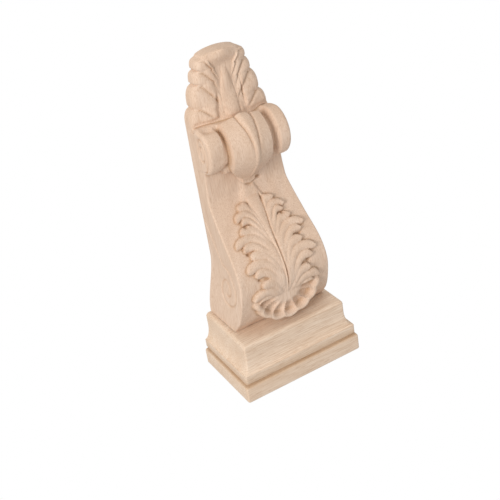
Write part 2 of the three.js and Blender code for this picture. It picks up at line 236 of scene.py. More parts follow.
def leaf_outline(share):
    half = leaf_envelope(share)
    for start, end in zip(leaf_notches[:-2], leaf_notches[1:-1]):
        part = (share - start) / (end - start)
        corner = np.clip(part, 0, 1) ** lobe_squareness
        rounded = lerp(leaf_envelope(start), leaf_envelope(end), corner)
        half = np.where((part >= 0) & (part < 1), rounded, half)
    nicks = sum(bell(share - notch, nick_share) for notch in leaf_notches[1:-1])
    return np.maximum(half - nick_depth * nicks, leaf_tip_half_width)


print("half widths at the notches:", leaf_outline(np.array(leaf_notches)).round(1))

# %% Rows down the hanging leaf
leaf_row_crowding = 1.35
leaf_edge_radius = 4.2
edge_radius_share = 0.35
least_edge_radius = 0.3
edge_softens = (-0.05, 0.15)
past_roll = 99


def leaf_stretch():
    share = 1 - (1 - np.linspace(0, 1, leaf_rows)) ** leaf_row_crowding
    z = lerp(leaf_top_z, bottom_z, share)
    half = leaf_outline(share)
    radius = np.minimum(leaf_edge_radius, edge_radius_share * half)
    return {
        "y": -leaf_edge_thickness, "z": z, "out_y": -1, "out_z": 0, "to_roll": past_roll,
        "half": half, "back_half": half, "back_z": z,
        "arris": radius * rise(share, *edge_softens) + least_edge_radius,
        "angle": roll_end, "leaf_share": share, "part": 2,
    }


def down_the_front(key):
    joined = [np.broadcast_to(stretch[key], stretch["z"].shape) for stretch in stretches]
    return np.concatenate(joined)[:, None]


stretches = [bulge_stretch(), roll_stretch(), leaf_stretch()]
rows = {key: down_the_front(key) for key in stretches[0]}
row_count = len(rows["z"])
print(f"{row_count} rows from the cap to the leaf's tip")

# %% [markdown]
# Columns run across the front between its two arrises. The left and right halves of a real carving never
# match exactly, so the pattern is drawn through a slight warp, a few tenths of a millimetre, different on
# each side.

# %% Columns across the front
front_columns = 131
broad_warp, fine_warp = 0.35, 0.25
warp_across, warp_down, fine_down, side_shift = 5.3, 7.1, 4.4, 2
warp_begins = (2, 6)

across = np.linspace(-1, 1, front_columns)[None, :] * (rows["half"] - rows["arris"])
side = np.abs(across)
hand_warp = broad_warp * np.sin(across / warp_across + rows["z"] / warp_down)
hand_warp = hand_warp + fine_warp * np.sin(rows["z"] / fine_down + side_shift * np.sign(across))
drawn_side = np.maximum(0, side + hand_warp * rise(side, *warp_begins))
to_roll, row_angle = rows["to_roll"], rows["angle"]
on_bulge = rows["part"] == 0
on_roll = rows["part"] == 1
on_leaf = rows["part"] == 2
print(f"{front_columns} columns, {2 * np.max(rows['half']) / front_columns:.2f} mm apart at most")

# %% [markdown]
# The leaf is thick at its root and comes out of the scroll's underside, further out in the middle than at
# its edges. So the last rows of the scroll bend to end where the leaf's face begins, and the leaf's first
# rows follow them.

# %% Bend the rows to the leaf's root
root_crown = 7
root_bend_from = 2.2
root_follows = (0, 0.15)

root_face = leaf_edge_thickness + root_crown * (1 - np.clip(side / leaf_half_width, 0, 1) ** 2)
root_angle = math.pi + np.arcsin(-(root_face + roll_centre[0]) / roll_radius)
root_drop = leaf_top_z - roll_centre[1] - roll_radius * np.cos(root_angle)
root_bend = (roll_end - root_angle) * rise(row_angle, root_bend_from, roll_end)
bent_angle = row_angle - root_bend * on_roll
plain_y = np.where(on_roll, roll_centre[0] - roll_radius * np.sin(bent_angle), rows["y"])
plain_z = np.where(on_roll, roll_centre[1] + roll_radius * np.cos(bent_angle), rows["z"])
plain_z = plain_z - root_drop * (1 - rise(rows["leaf_share"], *root_follows)) * on_leaf
out_y = np.where(on_roll, -np.sin(bent_angle), rows["out_y"])
out_z = np.where(on_roll, np.cos(bent_angle), rows["out_z"])
print(f"leaf root stands {root_face.max():.1f} mm out in the middle")

# %% [markdown]
# An acanthus lobe is a group of fingers that leave the midrib together, run beside it and arch outwards
# to drooping tips. Each finger is a half round that narrows to its tip, and the V cuts between fingers
# are where two half rounds meet. Sculpting by hand would give the same look, but a formula keeps every
# lobe editable.

# %% One lobe of the acanthus
shell_hub_drop = 23.5
acanthus_length = bulge_length - shell_hub_drop
lobe_sweep = 0.2 * acanthus_length
lobe_droop = 0.035 * acanthus_length
arch_power = 3.5


def lobe_axis(lobe, share):
    arch = lobe_sweep * (1 - share) ** arch_power
    return lobe["tip"] - arch + lobe_droop * np.sin(math.pi * share)


def lobe_slope(lobe, share):
    arch = arch_power * lobe_sweep * (1 - share) ** (arch_power - 1)
    return (arch + lobe_droop * math.pi * np.cos(math.pi * share)) / lobe["reach"]


print(f"acanthus {acanthus_length:.1f} mm long, each lobe sweeps {lobe_sweep:.1f} mm along it")

# %% Fingers of a lobe
finger_places = (-0.62, 0.02, 0.66)
finger_tips = (0.84, 1.0, 0.74)
finger_width = 0.36
finger_rounding = 0.16
least_width = 1e-3
finger_begins = (0, 0.3)
fingers_part = (0.12, 0.42)
lobe_root_width = 0.45
lobe_spreads = (0, 0.5)
lobe_root_height, lobe_gain = 0.72, 0.42


def lobe_height(lobe, along, out_from_midrib):
    share = np.clip(out_from_midrib / lobe["reach"], 0, 1)
    span = lobe["half_span"] * lerp(lobe_root_width, 1, rise(share, *lobe_spreads))
    offset = (along - lobe_axis(lobe, share)) / np.hypot(1, lobe_slope(lobe, share)) / span
    fingers = np.zeros_like(offset)
    for place, tip in zip(finger_places, finger_tips):
        closing = dome(np.clip((share - tip) / finger_rounding + 1, 0, 1))
        width = np.maximum(finger_width * closing, least_width)
        finger = dome((offset - place) / width) * rise(closing, *finger_begins)
        fingers = np.maximum(fingers, finger)
    together = lerp(dome(offset), fingers, rise(share, *fingers_part))
    height = together * (lobe_root_height + lobe_gain * share)
    return np.where(out_from_midrib < lobe["reach"], height, 0)


print(f"{len(finger_places)} fingers a lobe")

# %% [markdown]
# The raised acanthus grows from the shell down the bulge and ends in a broad curled tip, where a plain
# stem takes over. Between two lobes a carver drills an eye, a small round hollow that reads as a dark
# dot, and it is what makes an acanthus look crisp from afar. The relief itself is low, about three
# millimetres.

# %% Lobes and eyes of the acanthus
lobe_sizes = [(24, 82.5, 8.2), (24.5, 64, 8.1), (24, 47.5, 7.7), (17.5, 32.5, 6.6)]
acanthus_lobes = [
    {"reach": reach, "tip": acanthus_length - from_roll, "half_span": half_span}
    for reach, from_roll, half_span in lobe_sizes
]
eye_share = 0.7
eye_offset = 0.8
eye_radius = 1.0
eye_stretch = 1.3


def eyes_between(lobes, along, out_from_midrib):
    pits = np.zeros_like(along + out_from_midrib)
    for lower, upper in zip(lobes, lobes[1:]):
        out = eye_share * min(lower["reach"], upper["reach"]) + eye_offset
        middle = (lobe_axis(lower, out / lower["reach"]) + lobe_axis(upper, out / upper["reach"])) / 2
        distance = np.hypot((out_from_midrib - out) / eye_stretch, along - middle)
        pits = np.maximum(pits, bell(distance, eye_radius))
    return pits


print(f"{len(acanthus_lobes)} lobes a side, reaching {[size[0] for size in lobe_sizes]} mm")

# %% Relief of the acanthus
acanthus_end = 21
sides_differ = (-1, 1)
plate_height, finger_height, eye_depth = 1.0, 1.9, 1.9
plate_edge = (0, 0.3)
midrib_tip_half, midrib_swell, midrib_swell_span, midrib_height = 0.6, 4.2, 21, 0.8
midrib_ends, incision_ends = (-3, 3), (-4, 4)
stem_tip_half, stem_widening, stem_from, stem_run = 4.2, 0.35, 7, 12
stem_height, stem_ends = 1.5, (10, -2)
stem_slopes, incision_depths = (1.3, 2.6), (1.1, 0.3)
incision_offset, incision_width = 0.3, 0.5
base_fade, eye_fade, incision_fade = (-8, 0), (-4, 2), (4, 12)


def acanthus_relief():
    along = to_roll + acanthus_length
    to_tip = -to_roll - acanthus_end
    plus_side = rise(across, *sides_differ)
    lobes = [lobe_height(lobe, along, drawn_side) for lobe in acanthus_lobes]
    midrib_half = midrib_tip_half + midrib_swell * bell(to_tip, midrib_swell_span)
    midrib = midrib_height * dome(np.clip(side / midrib_half, 0, 1)) * rise(to_tip, *midrib_ends)
    leaf = np.maximum.reduce(lobes + [midrib])
    stem_half = stem_tip_half + stem_widening * np.clip(to_tip + stem_from, 0, stem_run)
    slope = lerp(*stem_slopes, plus_side)
    stem = (1 - rise(side, stem_half - slope, stem_half + slope)) * rise(to_tip, *stem_ends)
    height = plate_height * rise(leaf, *plate_edge) + finger_height * leaf
    incised = lerp(*incision_depths, plus_side) * bell(side - midrib_half - incision_offset, incision_width)
    incised = incised * rise(to_tip, *incision_ends)
    pits = eye_depth * eyes_between(acanthus_lobes, along, drawn_side)
    carved = np.maximum(height, stem_height * stem) * rise(along, *base_fade)
    carved = carved - pits * rise(along, *eye_fade)
    return carved - incised * rise(along, *incision_fade)


acanthus = np.where(on_bulge, acanthus_relief(), 0)
print(f"acanthus stands {acanthus.max():.1f} mm proud, its eyes go {-acanthus.min():.1f} mm in")

# %% [markdown]
# The shell at the leaf's base is a half disc that curls forward over the cap's ledge. Its rim is a thick,
# scalloped bead, and deep hollows run from the hub out to it. Radii are shares of the shell's own.

# %% Shell over the ledge
shell_half_width = 24.5
shell_drop = 19.5
shell_flutes = 13
shell_scallop = 0.07
shell_edge, shell_hub_fade = (0.96, 1.01), (-0.12, 0.12)
hollow_depth, hollow_fullness = 3.6, 0.55
hollow_begins, hollow_ends = (0.3, 0.62), (0.74, 0.86)
rim_height, rim_radius, rim_width = 1.3, 0.9, 0.085
rib_height, rib_radius, rib_width = 0.5, 0.6, 0.25


def shell_lip():
    shell_across = across / shell_half_width
    up = (rows["z"] - bracket_top_z + shell_hub_drop) / shell_drop
    lobe = np.abs(np.cos(shell_flutes * np.arctan2(shell_across, up) / 2))
    radius = np.hypot(shell_across, up) * (1 + shell_scallop * (1 - lobe))
    inside = (1 - rise(radius, *shell_edge)) * rise(up, *shell_hub_fade)
    hollow = lobe**hollow_fullness * rise(radius, *hollow_begins) * (1 - rise(radius, *hollow_ends))
    rim = rim_height * bell(radius - rim_radius, rim_width)
    ribs = rib_height * (1 - lobe) * bell(radius - rib_radius, rib_width)
    return inside, rim + ribs - hollow_depth * hollow


shell_inside, shell_height = shell_lip()
shell_inside = shell_inside * on_bulge
print(f"shell of {shell_flutes} hollows covers {(shell_inside > 0.5).mean():.1%} of the front")

# %% [markdown]
# The husk is a leaf strap that wraps over the middle of the small scroll. Off the scroll it runs down
# onto the neck in one smooth slope, narrows like a teardrop and ends as a blunt tongue. Its path is a
# curve with one control point, where the line of the neck meets the line that leaves the scroll.

# %% Path of the husk
tongue_length = 12
tongue_rise = 1.2
husk_rise = 1.2
husk_join_angle = 0.85
join_travel = (husk_join_angle - roll_start) * roll_radius
husk_share = np.clip((to_roll + tongue_length) / (join_travel + tongue_length), 0, 1)


def husk_path():
    turn_y, turn_z = -math.sin(husk_join_angle), math.cos(husk_join_angle)
    join_radius = roll_radius + husk_rise
    join = roll_centre + join_radius * np.array([turn_y, turn_z])
    start = np.array([-neck_projection - tongue_rise, roll_top_z + tongue_length])
    corner = np.array([start[0], join[1] - (start[0] - join[0]) * turn_y / turn_z])
    leaving, turning, joining = (1 - husk_share) ** 2, 2 * husk_share * (1 - husk_share), husk_share**2
    bend = [leaving * start[axis] + turning * corner[axis] + joining * join[axis] for axis in (0, 1)]
    past_join = to_roll >= join_travel
    y = np.where(past_join, roll_centre[0] - join_radius * np.sin(bent_angle), bend[0])
    z = np.where(past_join, roll_centre[1] + join_radius * np.cos(bent_angle), bend[1])
    return y, z


print(f"tongue {tongue_length} mm long, it joins the scroll {join_travel:.1f} mm past the scroll's top")

# %% [markdown]
# A rib runs along the husk's crown between two shallow valleys. It lies a little off the middle, as it
# was carved by eye, and it widens towards the leaf. The husk's half width is read off a few stations of
# its path.

# %% Section of the husk
husk_half_width = 13.9
husk_stations = [0, 0.03, 0.1, 0.2, 0.37, 0.55, 0.7, 0.85, 1]
husk_halves = [0.5, 2.6, 4.2, 4.8, 5.4, 8, 11.2, 13, 13.8]
husk_full_width = (0.85, 1.2)
roof_height, roof_power, swell_height = 2.3, 1.1, 0.7
husk_folds = (0.1, 0.9)
rib_offset, rib_halves, rib_widens, rib_rise = 1.6, (1.6, 4.4), (1.5, 2.9), 0.7
valley_depth, valley_offset, valley_width, valley_begins = 1.0, 0.4, 0.8, (1.1, 2.0)


def husk_half():
    tapered = np.interp(husk_share, husk_stations, husk_halves)
    return lerp(tapered, husk_half_width, rise(row_angle, *husk_full_width))


def husk_fold(half):
    from_rib = np.abs(across + rib_offset)
    rib_half = lerp(*rib_halves, rise(row_angle, *rib_widens))
    off_centre = np.clip(side / np.maximum(half, 1), 0, 1)
    roof = roof_height * (1 - off_centre) ** roof_power + swell_height * dome(off_centre)
    rib = rib_rise * dome(np.clip(from_rib / rib_half, 0, 1))
    valley = valley_depth * bell(from_rib - rib_half - valley_offset, valley_width)
    valley = valley * rise(row_angle, *valley_begins)
    return (roof + rib) * rise(husk_share, *husk_folds) - valley


print(f"husk {2 * husk_half_width:.1f} mm wide on the scroll, its tongue {2 * husk_halves[3]:.1f} mm")

# %% Lay the husk over the scroll
tongue_lean = -1.5
husk_edge = (-0.8, 0.4)
husk_top = (2.85, 3.15)
above = 1 - rise(bent_angle, *husk_top) * on_roll


def add_husk(y, z):
    half = husk_half()
    here = (to_roll > -tongue_length) & ~on_leaf
    from_axis = np.abs(across - tongue_lean * (1 - husk_share))
    within = (1 - rise(from_axis, half + husk_edge[0], half + husk_edge[1])) * above * here
    husk_y, husk_z = husk_path()
    fold = husk_fold(half)
    return lerp(y, husk_y + out_y * fold, within), lerp(z, husk_z + out_z * fold, within), within, here


print(f"{above.mean():.1%} of the front lies before the husk's end under the scroll")

# %% [markdown]
# A groove beside each edge of the husk sets it off from the scroll's ends, and it opens on the neck with
# a small pocket. The two were cut by hand: the one at +x is a plain slot, and the one at -x slopes up to
# the end disc and runs on to the leaf's root. The pairs of depths and of angles are for -x first, then
# +x.

# %% Grooves beside the husk
roll_end_width = 10
end_width_difference = 1.1
slot_slope, open_slope = (-1.6, 1.4), (-1.2, 1.8)
grooves_differ = (-2, 2)
groove_depths = (4.4, 3.6)
groove_fade_from, groove_fade_to = (3.1, 2.85), (3.4, 3.15)
groove_begins = (5, 12)
pocket_depth, pocket_place, pocket_sizes = 1.6, (15.4, 12), (1.5, 2.6)


def scroll_grooves(within):
    edge = roll_half_width - roll_end_width - end_width_difference * np.sign(across)
    in_slot = 1 - rise(across, edge + slot_slope[0], edge + slot_slope[1])
    in_open = 1 - rise(side, edge + open_slope[0], edge + open_slope[1])
    in_groove = np.where(across > 0, in_slot, in_open)
    plus_side = rise(across, *grooves_differ)
    end = 1 - rise(bent_angle, lerp(*groove_fade_from, plus_side), lerp(*groove_fade_to, plus_side))
    depth = lerp(*groove_depths, plus_side)
    return depth * (1 - within) * in_groove * end * rise(to_roll, *groove_begins) * on_roll


def scroll_pockets(within):
    return pocket_depth * dimple(side, to_roll, pocket_place, pocket_sizes) * (1 - within)


print(f"grooves {groove_depths} mm deep")

# %% [markdown]
# Each end of the scroll swells a little like a barrel. The end at +x is flattened towards the neck, with
# a hollow crescent where it meets the leaf. A gouge left a scooped crescent round the tongue's tip and a
# prick beside it.

# %% Ends of the scroll and tool marks
barrel_rise, barrel_side, barrel_half, barrel_begins = 0.6, 22.3, 5.6, (2, 10)
flat_depth, flat_side, flat_fade = 3.0, (15, 17.5), (1.3, 2.5)
crescent_depth, crescent_angle, crescent_span = 2.4, 2.9, 0.2
crescent_side, crescent_width = 20.5, 4.5
scoop_depth, scoop_offset, scoop_curve, scoop_sizes = 1.9, 1.2, 0.1, (0.8, 4.6)
prick_depth, prick_place, prick_sizes = 2.3, (-8, -11), (1.9, 0.9)


def scroll_ends():
    barrel = barrel_rise * dome((side - barrel_side) / barrel_half) * on_roll * above
    barrel = barrel * rise(to_roll, *barrel_begins)
    flattened = flat_depth * rise(across, *flat_side) * (1 - rise(bent_angle, *flat_fade)) * on_roll
    crescent = crescent_depth * bell((bent_angle - crescent_angle) / crescent_span, 1)
    crescent = crescent * bell((across - crescent_side) / crescent_width, 1) * on_roll
    return barrel - flattened - crescent


def tool_marks():
    from_tip = to_roll + tongue_length + scoop_offset
    tip_side = across - tongue_lean
    scoop = scoop_depth * bell(from_tip - scoop_curve * tip_side**2, scoop_sizes[0])
    scoop = scoop * bell(tip_side / scoop_sizes[1], 1)
    return scoop + prick_depth * dimple(across, to_roll, prick_place, prick_sizes)


print(f"tool marks go {tool_marks().max():.1f} mm in")

# %% [markdown]
# The hanging leaf is a crowned slab, thick at its root under the scroll and thin at its tip, which curls
# forward as a smooth lump. Its veins leave a broad midrib, run beside it and sweep out to the notches of
# the outline, so every point is asked at which notch its vein ends. That draws the lobes as pillows.

# %% Lobes of the hanging leaf
vein_sweep = 0.6
vein_power = 2.1
pillow_lean = 0.7
pillow_fullness = 0.7
last_station = 0.999


def vein_station(share, edge):
    return np.clip(share + vein_sweep * (1 - edge) ** vein_power, 0, last_station)


def lobe_pillows(station):
    pillow = np.zeros_like(station)
    for start, end in zip(leaf_notches[1:-1], leaf_notches[2:]):
        part = np.clip((station - start) / (end - start), 0, 1)
        swell = np.sin(math.pi * part**pillow_lean) ** pillow_fullness
        pillow = np.where((part > 0) & (part < 1), swell, pillow)
    return pillow


print(f"{len(leaf_notches) - 2} lobes a side below the collar")

# %% Midrib, collar and curl of the hanging leaf
tip_crown, crown_fades = 2.8, (0, 0.5)
face_rise, root_fade = 0.4, (0, 0.06)
lobe_relief, lobe_begins, lobe_ends = 1.7, (0.15, 0.45), (0.84, 0.94)
collar_rise, collar_begins, collar_ends, collar_side = 1.6, (0.02, 0.095), (0.25, 0.285), (0.35, 0.5)
midrib_halves, midrib_tapers, midrib_rise = (5.4, 2.0), (0.3, 0.8), 1.4
midrib_offset, midrib_fades = 0.4, (0.62, 0.8)
gutter_depth, gutter_side, gutter_width, gutter_fades = 1.3, 8.6, 1.7, (0.15, 0.4)
curl_rise, curl_begins = 3.2, (0.76, 0.94)
hollow_cut, hollow_run, hollow_side, hollow_edge = 1.2, (0.085, 0.04), (6, 11), (0.75, 0.98)
leaf_eye_depth, leaf_eye_place, leaf_eye_sizes = 2.2, (7.2, -76), (0.9, 3)
slit_depth, slit_place, slit_sizes = 1.6, (-9.4, -77), (0.5, 6.5)


def leaf_cuts(share, edge):
    gutter = gutter_depth * bell(side - gutter_side, gutter_width) * (1 - rise(share, *gutter_fades))
    hollow = hollow_cut * rise(share, *hollow_run) * rise(across, *hollow_side)
    return gutter, hollow * (1 - rise(edge, *hollow_edge))


def hanging_leaf_relief():
    share = rows["leaf_share"]
    edge = np.clip(drawn_side / rows["half"], 0, 1)
    station = vein_station(share, edge)
    crown = lerp(root_crown, tip_crown, rise(share, *crown_fades)) * (1 - edge**2)
    lobes = lobe_relief * lobe_pillows(station) * rise(edge, *lobe_begins) * (1 - rise(share, *lobe_ends))
    collar = collar_rise * rise(share, *collar_begins) * (1 - rise(station, *collar_ends))
    collar = collar * rise(edge, *collar_side)
    midrib_half = lerp(*midrib_halves, rise(share, *midrib_tapers))
    midrib = midrib_rise * dome(np.clip((side + midrib_offset) / midrib_half, 0, 1))
    midrib = midrib * (1 - rise(share, *midrib_fades))
    curl = curl_rise * rise(share, *curl_begins) * (1 - edge**2)
    gutter, hollow = leaf_cuts(share, edge)
    eye = leaf_eye_depth * dimple(across, plain_z, leaf_eye_place, leaf_eye_sizes)
    slit = slit_depth * dimple(across, plain_z, slit_place, slit_sizes)
    carved = face_rise + np.maximum.reduce([lobes, midrib, collar]) - gutter - hollow
    return crown + carved * rise(share, *root_fade) + curl - eye - slit


hanging_leaf = np.where(on_leaf, hanging_leaf_relief(), 0)
print(f"hanging leaf is up to {leaf_edge_thickness + hanging_leaf.max():.1f} mm thick")

# %% [markdown]
# All the layers are added to the plain front. The shell lies in a plane of its own, so it replaces the
# height under it. A slow wave of a tenth of a millimetre stands for what sandpaper leaves on a
# hand-worked surface, and it fades out at the arrises.

# %% Put the carving on the front
broad_wave, wave_across, wave_down, wave_shift = 0.1, 3.1, 3.7, 1.7
fine_wave, fine_wave_across, fine_wave_down = 0.08, 1.9, 2.6
wave_begins = (1.5, 4)

relief = acanthus + hanging_leaf
hand_wave = broad_wave * np.sin(across / wave_across + wave_shift) * np.sin(rows["z"] / wave_down)
hand_wave = hand_wave + fine_wave * np.sin(across / fine_wave_across - rows["z"] / fine_wave_down)
relief = relief + hand_wave * rise(rows["half"] - side, *wave_begins)
front_y = plain_y + out_y * relief
front_z = plain_z + out_z * relief
front_y = lerp(front_y, -bulge_projection - shell_height, shell_inside)
front_z = lerp(front_z, np.broadcast_to(rows["z"], front_z.shape), shell_inside)
front_y, front_z, husk_within, husk_here = add_husk(front_y, front_z)
scroll_cut = scroll_grooves(husk_within) + scroll_pockets(husk_within) * husk_here + tool_marks()
scroll_height = scroll_ends() - scroll_cut
front_y = front_y + out_y * scroll_height
front_z = front_z + out_z * scroll_height
print(f"carving stands {relief.max():.1f} mm proud and cuts {-relief.min():.1f} mm deep")

# %% [markdown]
# The inner corner between the scroll and the leaf's root is eased the way a round gouge leaves it: the
# rows near it move towards the middle of their neighbours, a little at a time.

# %% Ease the corner at the leaf's root
root_row = bulge_rows + roll_rows
easing_passes = 20
easing_reach = 4


def ease_root(field):
    near = bell(np.arange(row_count)[1:-1, None] - root_row, easing_reach)
    for _ in range(easing_passes):
        field = field.copy()
        field[1:-1] += near * ((field[:-2] + field[2:]) / 2 - field[1:-1]) / 2
    return field


sharp_z = front_z
front_y, front_z = ease_root(front_y), ease_root(front_z)
print(f"easing moves the corner {np.abs(front_z - sharp_z).max():.2f} mm at most")

# %% [markdown]
# Volute lines are single V cuts on the flat sides. The large one comes in from the back edge below the
# bulge and curls round once and a half, and the small one coils inside the scroll's flat end.

# %% Paths of the volute lines
spiral_points, tail_points = 90, 30
tail_start = (-1, -1)


def spiral(centre, start_radius, end_radius, start_angle, turns, stretch=1.0):
    share = np.linspace(0, 1, spiral_points)
    radius = start_radius * (end_radius / start_radius) ** share
    angle = start_angle + turns * 2 * math.pi * share
    y, z = centre[0] + radius * np.cos(angle), centre[1] + stretch * radius * np.sin(angle)
    return np.stack([y, z], axis=1)


large_volute = spiral((-25.5, 39), start_radius=16.5, end_radius=3.6,
                      start_angle=math.radians(-75), turns=-1.6)
large_tail = np.linspace(tail_start, large_volute[0], tail_points)
small_volute = spiral(roll_centre + (-2.5, -2), start_radius=7.6, end_radius=1.9,
                      start_angle=math.radians(95), turns=1.7, stretch=1.7)
volute_lines = np.vstack([large_tail[:-1], large_volute]), small_volute
print("points on the volute lines:", [len(line) for line in volute_lines])

# %% Depth of a volute line
line_depth = 0.9
line_width = 0.75


def line_cut(y, z):
    cut = np.zeros_like(y)
    for line in volute_lines:
        nearest = np.full(y.shape, np.inf)
        for (start_y, start_z), (step_y, step_z) in zip(line, np.diff(line, axis=0)):
            along = (y - start_y) * step_y + (z - start_z) * step_z
            share = np.clip(along / (step_y * step_y + step_z * step_z), 0, 1)
            distance = np.hypot(y - start_y - share * step_y, z - start_z - share * step_z)
            nearest = np.minimum(nearest, distance)
        cut = np.maximum(cut, bell(nearest, line_width))
    return line_depth * cut


print(f"lines {line_depth} mm deep and about {2 * line_width:.1f} mm wide")

# %% [markdown]
# Each row becomes a closed loop: the carved front, a rounded arris, the flat side, the back, and the
# other side the same way. Joined loops make one watertight skin, which is how the real bracket is: one
# piece of wood.

# %% Close the rows into loops
arris_steps = 4
side_columns = 50
side_crowding = 0.9
line_stops = (0.93, 0.98)


def front_edge(mirror):
    edge = -1 if mirror > 0 else 0
    return front_y[:, edge][:, None], front_z[:, edge][:, None]


def arris_points(mirror):
    bend = np.linspace(0, math.pi / 2, arris_steps + 2)[1:-1][None, :]
    edge_y, edge_z = front_edge(mirror)
    x = rows["half"] - rows["arris"] * (1 - np.sin(bend))
    drop = rows["arris"] * (1 - np.cos(bend))
    return np.stack([mirror * x, edge_y - rows["out_y"] * drop, edge_z - rows["out_z"] * drop], axis=2)


def side_points(mirror):
    share = np.linspace(0, 1, side_columns)[None, :] ** side_crowding
    edge_y, edge_z = front_edge(mirror)
    y = lerp(edge_y - rows["out_y"] * rows["arris"], 0, share)
    z = lerp(edge_z - rows["out_z"] * rows["arris"], rows["back_z"], share)
    cut = line_cut(y, z) * ~on_leaf * (1 - rise(share, *line_stops))
    x = lerp(rows["half"], rows["back_half"], share) - cut
    return np.stack([mirror * x, y, z], axis=2)


front_points = np.stack([across, front_y, front_z], axis=2)
left_side, right_side = side_points(-1)[:, ::-1], side_points(1)
left_arris, right_arris = arris_points(-1)[:, ::-1], arris_points(1)
loops = np.concatenate([front_points, right_arris, right_side, left_side, left_arris], axis=1)
print(f"{loops.shape[0]} loops of {loops.shape[1]} points")

# %% [markdown]
# One helper turns a stack of loops into a mesh in metres. Faces between loops are quads, a fan closes
# each end, and edges sharper than a set angle stay crisp while the rest shades smoothly.

# %% Loops to a mesh


def quads_between(count, around):
    column = np.arange(around)
    following = (column + 1) % around
    starts = (np.arange(count - 1) * around)[:, None]
    corners = [starts + column, starts + around + column, starts + around + following, starts + following]
    return np.stack(corners, axis=2).reshape(-1, 4)


def fan(hub, ring):
    return [[hub, corner, following] for corner, following in zip(ring, ring[1:] + ring[:1])]


def skin(name, stack, sharp_degrees):
    count, around = stack.shape[:2]
    points = np.asarray(stack, float).reshape(-1, 3) * MM
    hubs = np.array([stack[0].mean(0), stack[-1].mean(0)]) * MM
    first_ring = list(range(around))[::-1]
    last_ring = list(range((count - 1) * around, count * around))
    fans = fan(len(points), first_ring) + fan(len(points) + 1, last_ring)
    faces = quads_between(count, around)[:, ::-1].tolist() + [face[::-1] for face in fans]
    mesh = bpy.data.meshes.new(name)
    mesh.from_pydata(np.vstack([points, hubs]).tolist(), [], faces)
    mesh.validate()
    mesh.shade_smooth()
    mesh.set_sharp_from_angle(angle=math.radians(sharp_degrees))
    piece = bpy.data.objects.new(name, mesh)
    bpy.context.scene.collection.objects.link(piece)
    return piece


bracket = skin("carved_wood_bracket", loops, sharp_degrees=50)
print(f"bracket: {len(bracket.data.polygons)} faces")

# %% [markdown]
# Dust and burnt fibre gather in the cuts, and the cuts are also given a painted shade, the shadow that
# falls into a hollow; together they make the cuts browner than the open wood. That is stored on the
# mesh as a number per point: how far the surface lies below its own blurred copy. The blur runs down the
# rows, turns the field over and runs across.

# %% How deep a point lies in a cut
blur_rounds = 10
full_dust_and_shade_depth = 0.9
visible_dust_and_shade = 0.3


def soften(field, rounds):
    for _ in range(2 * rounds):
        padded = np.pad(field, ((1, 1), (0, 0)), mode="edge")
        field = (padded[:-2] + padded[2:] + 2 * padded[1:-1]).T / 4
    return field


proud = (front_y - plain_y) * out_y + (front_z - plain_z) * out_z
cut_dust_and_shade = np.clip((soften(proud, blur_rounds) - proud) / full_dust_and_shade_depth, 0, 1)
print(f"{(cut_dust_and_shade > visible_dust_and_shade).mean():.1%} of the front lies in a cut")

# %% Paint shade and dust into the cuts
# How dark the painted shade and dust are in the volute lines on the flat sides.
volute_dust_and_shade_strength = 0.7


def store_dust_and_shade(piece, values):
    attribute = piece.data.attributes.new("cut_dust_and_shade", "FLOAT", "POINT")
    padded = np.zeros(len(piece.data.vertices), np.float32)
    padded[: values.size] = values.ravel()
    attribute.data.foreach_set("value", padded)


right_start = front_columns + arris_steps
left_start = right_start + side_columns
right_columns = slice(right_start, left_start)
left_columns = slice(left_start, left_start + side_columns)
line_dust_and_shade = line_cut(loops[:, right_columns, 1], loops[:, right_columns, 2]) / line_depth * ~on_leaf
bracket_dust_and_shade = np.zeros(loops.shape[:2])
bracket_dust_and_shade[:, :front_columns] = cut_dust_and_shade
bracket_dust_and_shade[:, right_columns] = volute_dust_and_shade_strength * line_dust_and_shade
bracket_dust_and_shade[:, left_columns] = volute_dust_and_shade_strength * line_dust_and_shade[:, ::-1]
store_dust_and_shade(bracket, bracket_dust_and_shade)
print(f"{(bracket_dust_and_shade > visible_dust_and_shade).mean():.1%} of all points lie in a cut")

# %% [markdown]
# The cap is planed and moulded rather than carved. One profile runs round the front and both sides and
# meets itself in crisp corners, as a moulding cut on a solid block does. The back is flat against the
# wall. The profile is a list of insets from the slab's face and heights, from the rounded foot up to the
# slab's top.

# %% Profile of the cap
slab_height = 12
slab_edge_radius = 1.5
groove_width = 1.4
groove_depth = 2.3
groove_floor = (0.2, -0.3)
fascia_inset = 1.4
fascia_height = 6
cove_height = 10.5
cove_depth = 4.1
shoulder_radius = 2.3
small_radius = 0.4
shoulder_points, cove_points, fascia_points, slab_points = 9, 17, 6, 8
slab_z = top_z - slab_height
fascia_z = slab_z - groove_width


def quarter(count):
    angle = np.linspace(0, math.pi / 2, count)
    return np.sin(angle), np.cos(angle)


def pairs(inset, z):
    return np.stack([inset, z], 1)


def cap_profile():
    sine, cosine = quarter(shoulder_points)
    foot_z = top_z - cap_height
    shoulder = pairs(cap_foot_inset - shoulder_radius * sine, foot_z + shoulder_radius * (1 - cosine))
    sine, cosine = quarter(cove_points)
    cove_foot = fascia_z - fascia_height - cove_height
    cove = pairs(fascia_inset + cove_depth * cosine, cove_foot + cove_height * sine)
    sine, cosine = quarter(fascia_points)
    fascia_edge = pairs(fascia_inset + small_radius * (1 - cosine), fascia_z - small_radius * (1 - sine))
    floor_low, floor_high = fascia_z + groove_floor[0], slab_z + groove_floor[1]
    groove = np.array([[groove_depth, floor_low], [groove_depth, floor_high]])
    sine, cosine = quarter(slab_points)
    lower = pairs(slab_edge_radius * (1 - sine), slab_z + slab_edge_radius * (1 - cosine))
    upper = pairs(slab_edge_radius * (1 - cosine), top_z - slab_edge_radius * (1 - sine))
    return np.vstack([shoulder, cove, fascia_edge, groove, lower, upper])


print(f"profile of {len(cap_profile())} points")

# %% Run the profile round the cap
corner_radius = 1.2
corner_points, face_columns, return_columns = 7, 24, 18


